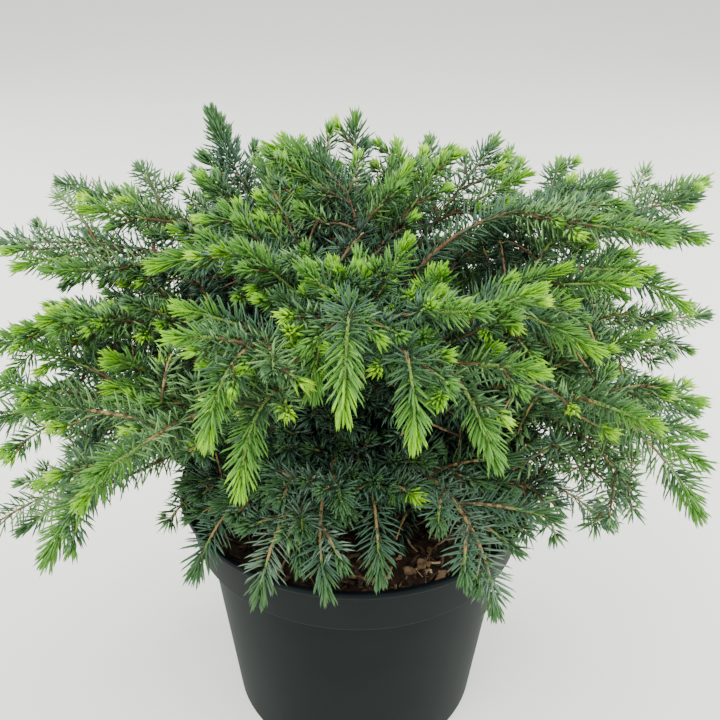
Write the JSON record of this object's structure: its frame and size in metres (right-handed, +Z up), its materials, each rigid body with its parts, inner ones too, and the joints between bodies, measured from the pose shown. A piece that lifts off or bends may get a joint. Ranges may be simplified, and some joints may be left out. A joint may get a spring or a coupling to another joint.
{
  "type": "potted nana black spruce",
  "caption": "Dwarf black spruce, a low wide mound of arching needled sprays with pale new tips, growing in a round dark plastic nursery pot topped with bark mulch.",
  "frame": {"origin": "centre of the pot's flat underside, where it stands", "axes": "+Z up; -Y is the front that the picture shows; +X is to the right in the picture"},
  "size_m": [0.4061, 0.3242, 0.3265],
  "materials": {
    "pot": "satin",
    "mulch": "rough",
    "bark": "rough",
    "needles": "satin"
  },
  "bodies": {
    "root": {"bough_back_left": "bark", "bough_back_middle": "bark", "bough_back_right": "bark", "bough_front_big": "bark", "bough_front_left": "bark", "bough_front_right": "bark", "bough_front_upper": "bark", "bough_left_back": "bark", "bough_left_front": "bark", "bough_left_low": "bark", "bough_left_middle": "bark", "bough_left_upper": "bark", "bough_right_back": "bark", "bough_right_front": "bark", "bough_right_high": "bark", "bough_right_middle": "bark", "bough_top_right": "bark", "mulch": "mulch", "pot": "pot", "spray_back_foot": "needles", "spray_back_left": "needles", "spray_back_low": "needles", "spray_back_middle": "needles", "spray_back_right": "needles", "spray_back_under": "needles", "spray_crest_forward": "needles", "spray_crest_left": "needles", "spray_crest_middle": "needles", "spray_crest_right": "needles", "spray_fall_left": "needles", "spray_fall_middle": "needles", "spray_fall_right": "needles", "spray_front_big": "needles", "spray_front_foot": "needles", "spray_front_left": "needles", "spray_front_low": "needles", "spray_front_right": "needles", "spray_front_star": "needles", "spray_front_under": "needles", "spray_front_upper": "needles", "spray_left_back": "needles", "spray_left_foot": "needles", "spray_left_front": "needles", "spray_left_low": "needles", "spray_left_middle": "needles", "spray_left_under": "needles", "spray_left_upper": "needles", "spray_right_back": "needles", "spray_right_foot": "needles", "spray_right_front": "needles", "spray_right_high": "needles", "spray_right_low": "needles", "spray_right_middle": "needles", "spray_right_under": "needles", "spray_right_upper": "needles", "spray_side_foot": "needles", "spray_top_front": "needles", "spray_top_left": "needles", "spray_top_right": "needles", "trunk": "bark"}
  },
  "joints": []
}
